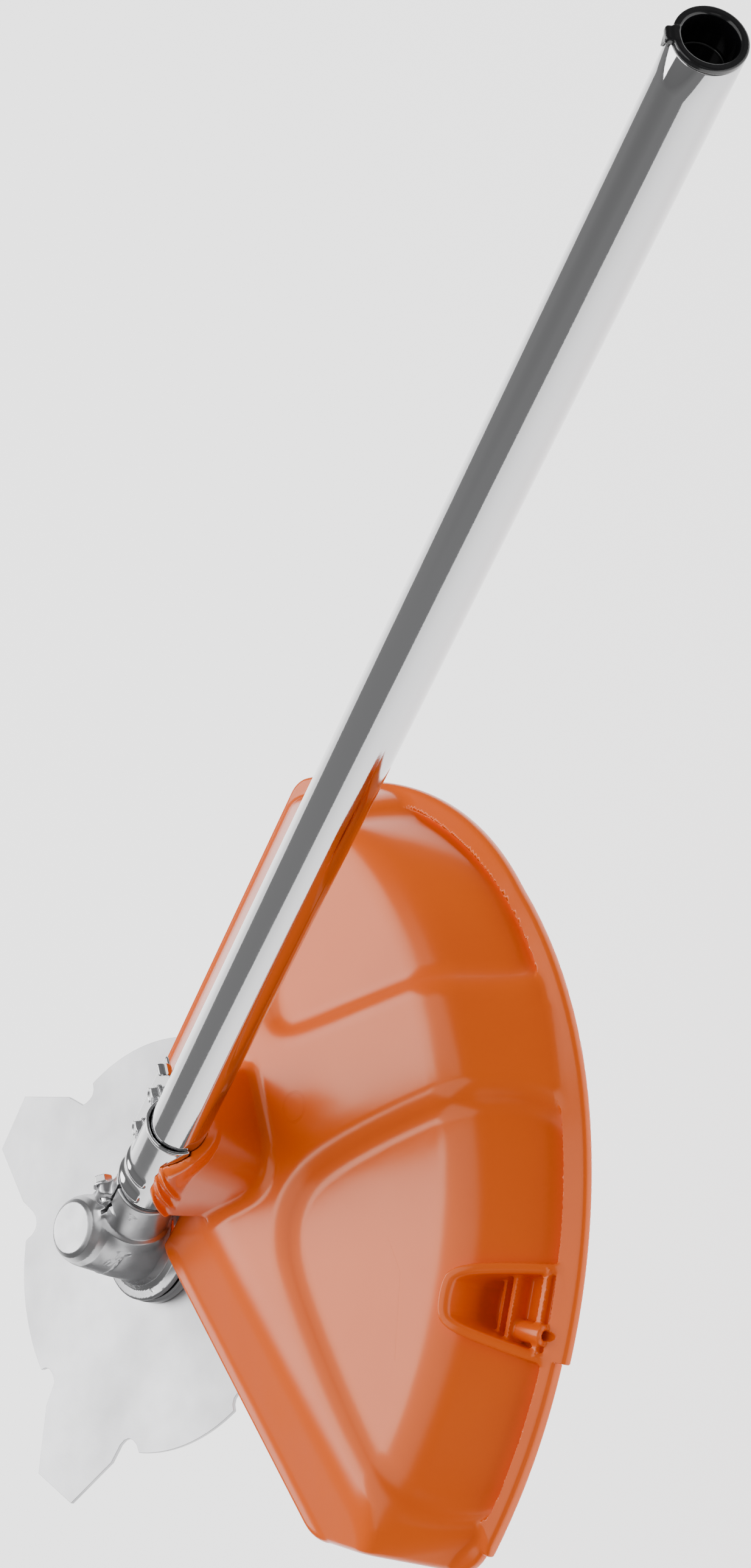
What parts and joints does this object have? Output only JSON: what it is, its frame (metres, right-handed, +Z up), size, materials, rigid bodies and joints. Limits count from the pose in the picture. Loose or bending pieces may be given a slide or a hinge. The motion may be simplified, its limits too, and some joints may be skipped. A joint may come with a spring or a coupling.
{
  "type": "brush cutter",
  "caption": "Straight brush cutter head: chromed tube, inner drive shaft, cast bevel gear head, steel blade with hooked tips, and a fan-shaped orange guard clamped round the tube.",
  "frame": {"origin": "centre of the blade spindle's free lower end, below the blade nut", "axes": "+Z up the blade's turning axis; +X the way the tube leaves the gear head, which rises at 29 degrees from it; the guard lies on the +X side"},
  "size_m": [0.9059, 0.3703, 0.5005],
  "materials": {
    "tube_chrome": "bright chrome-plated steel tube",
    "cap_plastic": "glossy black moulding",
    "shaft_steel": "ground steel rod",
    "bush_plastic": "natural nylon",
    "housing_cast": "satin die-cast aluminium",
    "dark_screws": "dark oiled steel",
    "gear_steel": "case-hardened steel",
    "bearing_steel": "polished bearing steel",
    "spring_steel": "spring steel",
    "seal_rubber": "black nitrile rubber",
    "spindle_steel": "ground steel",
    "disc_chrome": "bright plated steel",
    "blade_steel": "ground and lightly brushed steel plate",
    "fastener_zinc": "bright zinc plate",
    "guard_plastic": "semi-gloss orange moulding",
    "strap_chrome": "bright plated steel sheet"
  },
  "bodies": {
    "frame": {"shaft_tube": "tube_chrome", "shaft_bushes": "bush_plastic", "gear_housing": "housing_cast", "neck_screw": "dark_screws", "grease_plug": "dark_screws", "input_bearing_outer": "bearing_steel", "input_circlip": "spring_steel", "upper_bearing_outer": "bearing_steel", "lower_bearing_outer": "bearing_steel", "lower_circlip": "spring_steel", "spindle_seal": "seal_rubber", "guard": "guard_plastic", "clamp_strap": "strap_chrome", "clamp_bolts": "fastener_zinc", "clamp_washers": "fastener_zinc", "clamp_nuts": "fastener_zinc"},
    "drive_line": {"drive_shaft": "shaft_steel", "input_pinion": "gear_steel", "input_bearing_inner": "bearing_steel", "input_bearing_balls": "bearing_steel"},
    "cutter": {"output_gear": "gear_steel", "output_spindle": "spindle_steel", "gear_spacer": "bearing_steel", "upper_bearing_inner": "bearing_steel", "upper_bearing_balls": "bearing_steel", "lower_bearing_inner": "bearing_steel", "lower_bearing_balls": "bearing_steel", "drive_disc": "disc_chrome", "blade": "blade_steel", "support_washer": "disc_chrome", "blade_nut": "fastener_zinc"},
    "cap": {"end_cap": "cap_plastic"}
  },
  "joints": [
    {"name": "blade_spin", "type": "hinge", "parent": "frame", "child": "cutter", "pos_m": [0, 0, 0.0451], "axis": [0, 0, 1], "continuous": true},
    {"name": "drive_spin", "type": "hinge", "parent": "frame", "child": "drive_line", "pos_m": [0, 0, 0.0451], "axis": [0.8733, 0, 0.4871], "continuous": true},
    {"name": "cap_pull", "type": "slide", "parent": "frame", "child": "cap", "axis": [0.8733, 0, 0.4871], "range_m": [0, 0.1]}
  ],
  "couplings": [
    {"joint": "drive_spin", "follows": "blade_spin", "ratio": -1.3571}
  ]
}
